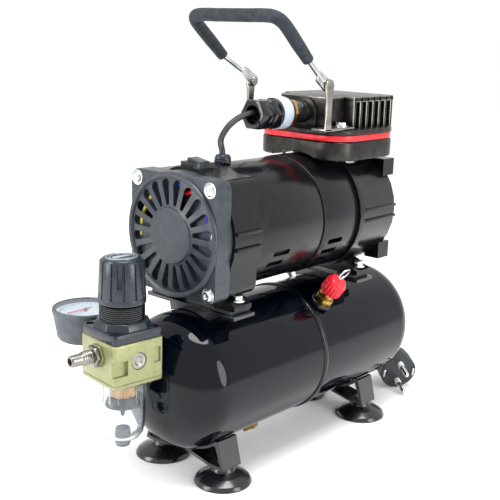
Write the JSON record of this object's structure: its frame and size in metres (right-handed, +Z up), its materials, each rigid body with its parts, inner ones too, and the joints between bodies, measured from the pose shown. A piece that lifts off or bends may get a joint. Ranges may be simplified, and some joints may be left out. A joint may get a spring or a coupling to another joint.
{
  "type": "airbrush compressor",
  "caption": "Oil-free piston air compressor on a small tank with suction feet, filter regulator, gauge, pressure switch, folding handle and coiled mains lead.",
  "frame": {"origin": "middle of the footprint, on the floor under the rubber feet", "axes": "+X along the tank towards the pump head end, +Y away from the side with the safety valve, +Z up"},
  "size_m": [0.4017, 0.2058, 0.3448],
  "materials": {
    "tank_enamel": "gloss",
    "black_paint": "semi-gloss",
    "brass": "satin",
    "bright_steel": "polished",
    "rubber": "satin",
    "grey_plastic": "satin",
    "iron": "dull",
    "copper": "enamelled copper wire",
    "gunmetal": "cast, satin",
    "red_gasket": "satin",
    "black_plastic": "semi-gloss",
    "olive_metal": "anodised satin",
    "clear_plastic": "clear",
    "peach_plastic": "porous",
    "baffle_plastic": "satin",
    "red_plastic": "gloss"
  },
  "bodies": {
    "compressor": {"tank_left_half": "tank_enamel", "tank_right_half": "tank_enamel", "tank_nipple": "black_paint", "left_foot_bracket": "black_paint", "right_foot_bracket": "black_paint", "left_saddle": "black_paint", "right_saddle": "black_paint", "front_bell": "black_paint", "motor_shell_left": "black_paint", "motor_shell_right": "black_paint", "rear_cover": "black_paint", "safety_valve": "brass", "handle_bracket_near": "bright_steel", "handle_bracket_far": "bright_steel", "outlet_nipple": "bright_steel", "regulator_spring": "bright_steel", "front_bearing": "bright_steel", "rear_bearing": "bright_steel", "delivery_tube": "bright_steel", "foot_left_near": "rubber", "foot_left_far": "rubber", "foot_right_near": "rubber", "foot_right_far": "rubber", "power_cord_upper": "rubber", "power_cord_lower": "rubber", "cord_coil": "rubber", "switch_cable": "rubber", "fan_cover": "grey_plastic", "stator_core": "iron", "stator_winding": "copper", "connecting_rod": "gunmetal", "cylinder": "gunmetal", "valve_plate": "gunmetal", "cylinder_head": "gunmetal", "head_gasket": "red_gasket", "pressure_switch": "black_plastic", "cable_gland": "black_plastic", "rocker_bezel": "black_plastic", "regulator_bonnet": "black_plastic", "gauge_case": "black_plastic", "power_gland": "black_plastic", "power_plug": "black_plastic", "regulator_body": "olive_metal", "filter_bowl": "clear_plastic", "gauge_lens": "clear_plastic", "filter_element": "peach_plastic", "filter_baffle": "baffle_plastic"},
    "handle": {"handle_wire": "bright_steel", "handle_grip": "rubber"},
    "rotor": {"rotor_core": "iron", "motor_shaft": "bright_steel", "cooling_fan": "grey_plastic", "crank_eccentric": "bright_steel"},
    "spindle": {"adjusting_spindle": "bright_steel"},
    "knob": {"regulator_knob": "black_plastic"},
    "rocker": {"power_rocker": "black_plastic"},
    "valve_ring": {"safety_valve_ring": "bright_steel"},
    "tank_drain": {"tank_drain_cock": "brass"},
    "bowl_drain": {"bowl_drain_knob": "black_plastic"},
    "needle": {"gauge_needle": "red_plastic"}
  },
  "joints": [
    {"name": "handle_fold", "type": "hinge", "parent": "compressor", "child": "handle", "pos_m": [0.03465, -0.00568, 0.291], "axis": [0, 1, 0], "range_deg": [-60, 140]},
    {"name": "motor_spin", "type": "hinge", "parent": "compressor", "child": "rotor", "pos_m": [0.03215, -0.00568, 0.187], "axis": [1, 0, 0], "continuous": true},
    {"name": "pressure_adjust", "type": "hinge", "parent": "compressor", "child": "spindle", "pos_m": [-0.13435, -0.00568, 0.15], "axis": [0, 0, 1], "range_deg": [-720, 720]},
    {"name": "knob_lift", "type": "slide", "parent": "spindle", "child": "knob", "axis": [0, 0, 1], "range_m": [0, 0.003]},
    {"name": "power_switch", "type": "hinge", "parent": "compressor", "child": "rocker", "pos_m": [-0.06385, -0.00568, 0.23415], "axis": [1, 0, 0], "range_deg": [-18, 0]},
    {"name": "ring_pull", "type": "slide", "parent": "compressor", "child": "valve_ring", "axis": [0, -0.6157, 0.788], "range_m": [0, 0.0015], "stiffness_N_per_m": 400, "springref_m": -0.0005},
    {"name": "tank_drain_turn", "type": "hinge", "parent": "compressor", "child": "tank_drain", "pos_m": [0.00215, -0.00568, 0.02], "axis": [0, 0, 1], "range_deg": [-360, 0]},
    {"name": "bowl_drain_turn", "type": "hinge", "parent": "compressor", "child": "bowl_drain", "pos_m": [-0.13435, -0.00568, 0.05], "axis": [0, 0, 1], "range_deg": [0, 90]},
    {"name": "needle_swing", "type": "hinge", "parent": "compressor", "child": "needle", "pos_m": [-0.12989, 0.04061, 0.1293], "axis": [0, 0, 1], "range_deg": [-270, 0], "stiffness_Nm_per_rad": 0.00002}
  ]
}
